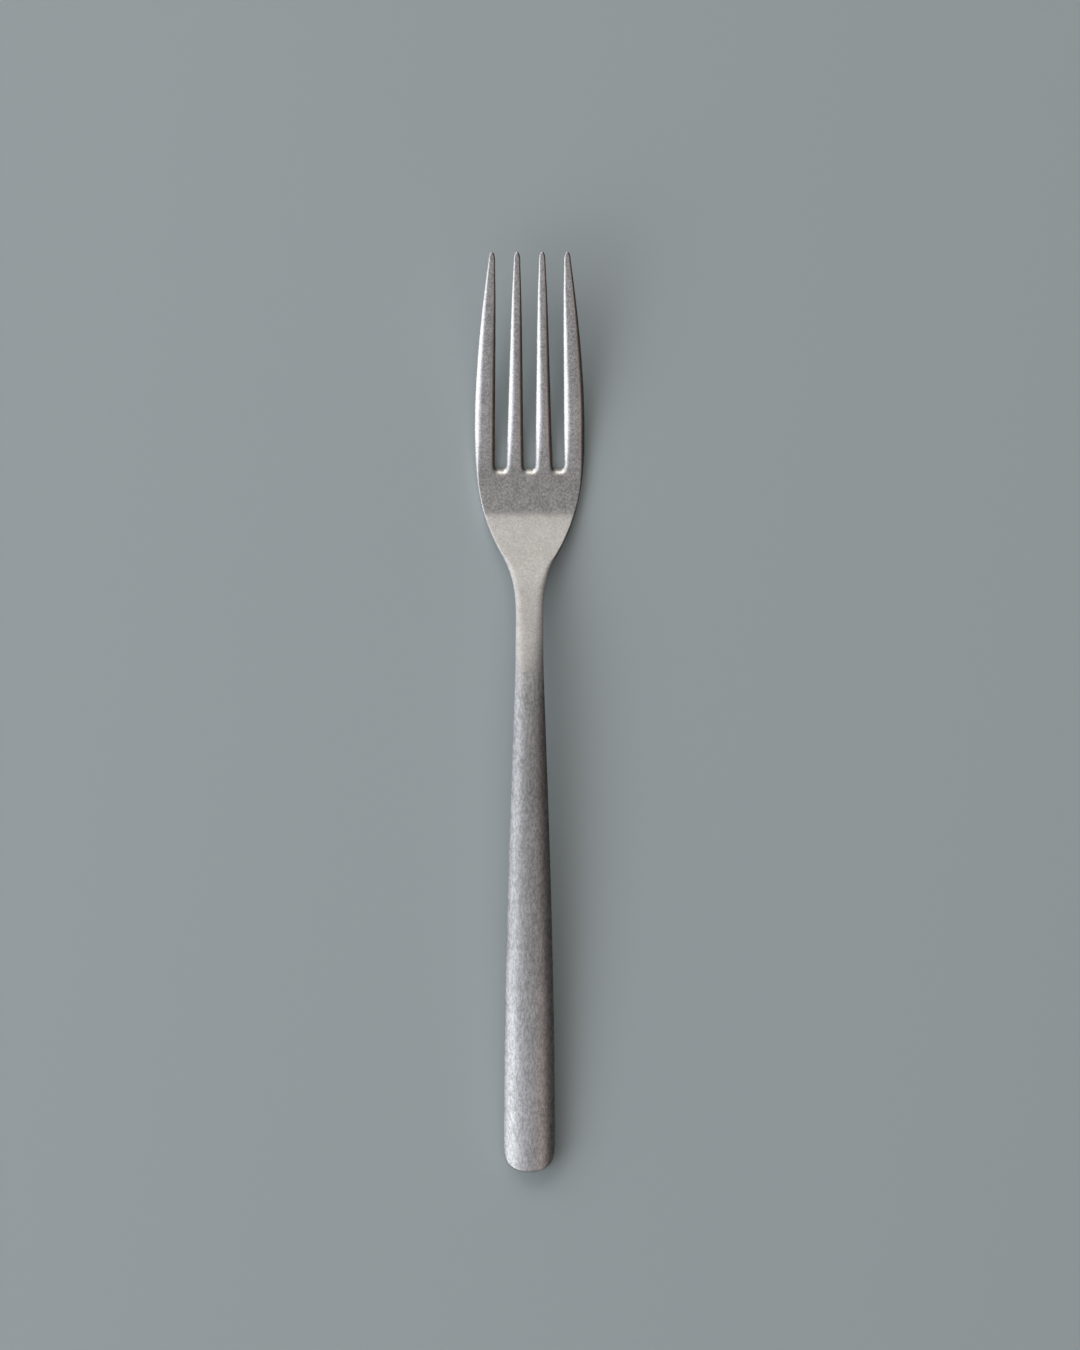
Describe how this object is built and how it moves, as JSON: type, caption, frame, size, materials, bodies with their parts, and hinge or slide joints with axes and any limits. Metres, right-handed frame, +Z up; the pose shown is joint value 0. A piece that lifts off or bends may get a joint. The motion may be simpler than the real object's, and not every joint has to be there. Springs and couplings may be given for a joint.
{
  "type": "table fork",
  "caption": "Plain modern table fork with slender tapered tines, a narrow neck and a thick rounded hollow handle, in matt tumbled stainless steel.",
  "frame": {"origin": "on the table under the middle of the fork's length and width", "axes": "+Y from the butt to the tine tips, +Z up from the table, +X to the right seen from above with the tines away"},
  "size_m": [0.024, 0.2, 0.0153],
  "materials": {
    "steel": "matt stainless steel, tumbled with stones, fine speckle",
    "weld": "weld metal ground flush and tumbled with the rest",
    "compound": "hard filled resin, dull"
  },
  "bodies": {
    "root": {"fork_head": "steel", "handle_upper_shell": "steel", "handle_lower_shell": "steel", "seam_weld": "weld", "neck_weld": "weld", "handle_core": "compound"}
  },
  "joints": []
}
